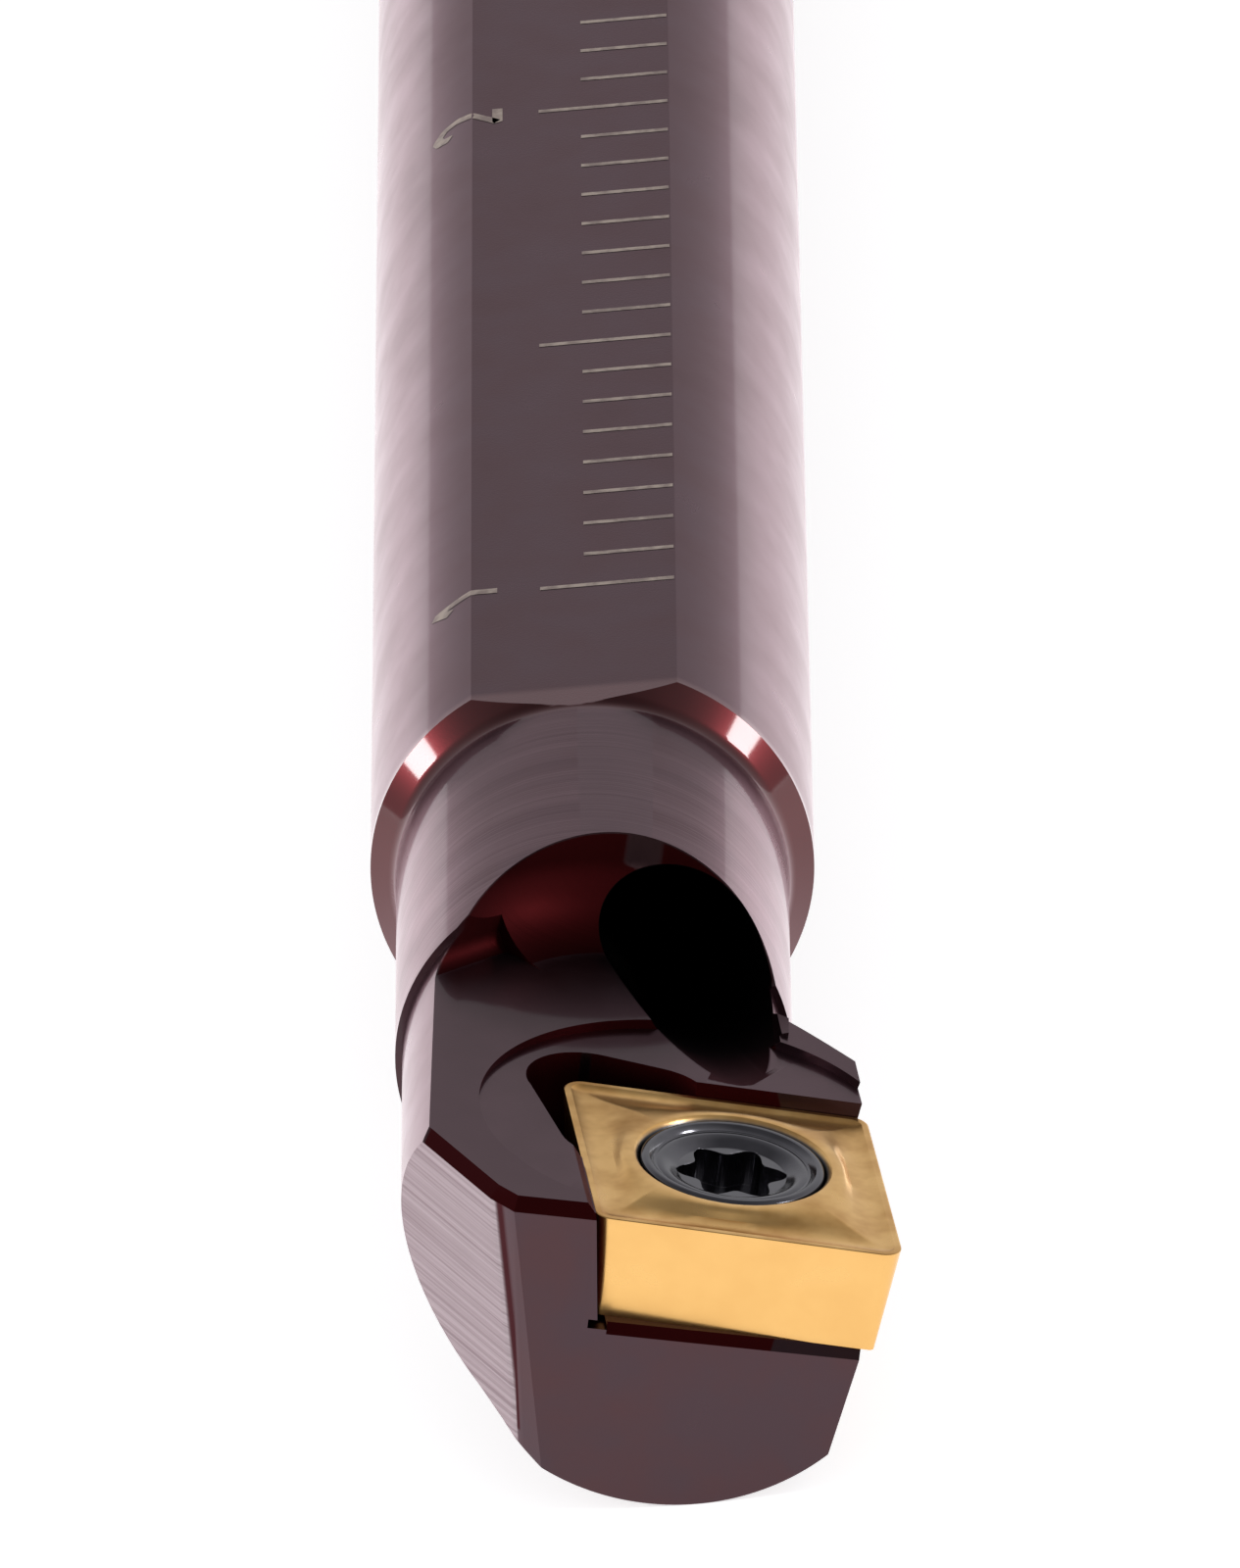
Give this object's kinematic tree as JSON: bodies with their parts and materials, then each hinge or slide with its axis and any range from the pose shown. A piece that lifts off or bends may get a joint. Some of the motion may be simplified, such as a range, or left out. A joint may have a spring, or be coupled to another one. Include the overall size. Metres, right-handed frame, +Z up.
{
  "type": "boring bar",
  "caption": "Round boring bar with a graduated flat, a slimmer neck and a rhombic cutting insert screwed into its tip.",
  "frame": {"origin": "on the shank's axis, where its full diameter ends at the rear chamfer, 0.8 mm in front of the rear end face", "axes": "+Y along the shank's axis from the tip to the rear end, +Z up through the graduated flat, +X towards the side that cuts"},
  "size_m": [0.0112, 0.1524, 0.0096],
  "materials": {
    "bar_steel": "ground and turned steel with a thin oil film",
    "coated_carbide": "gold coloured coating, satin",
    "screw_steel": "dark steel, satin"
  },
  "bodies": {
    "root": {"bar_body": "bar_steel", "cutting_insert": "coated_carbide", "clamp_screw": "screw_steel"}
  },
  "joints": []
}
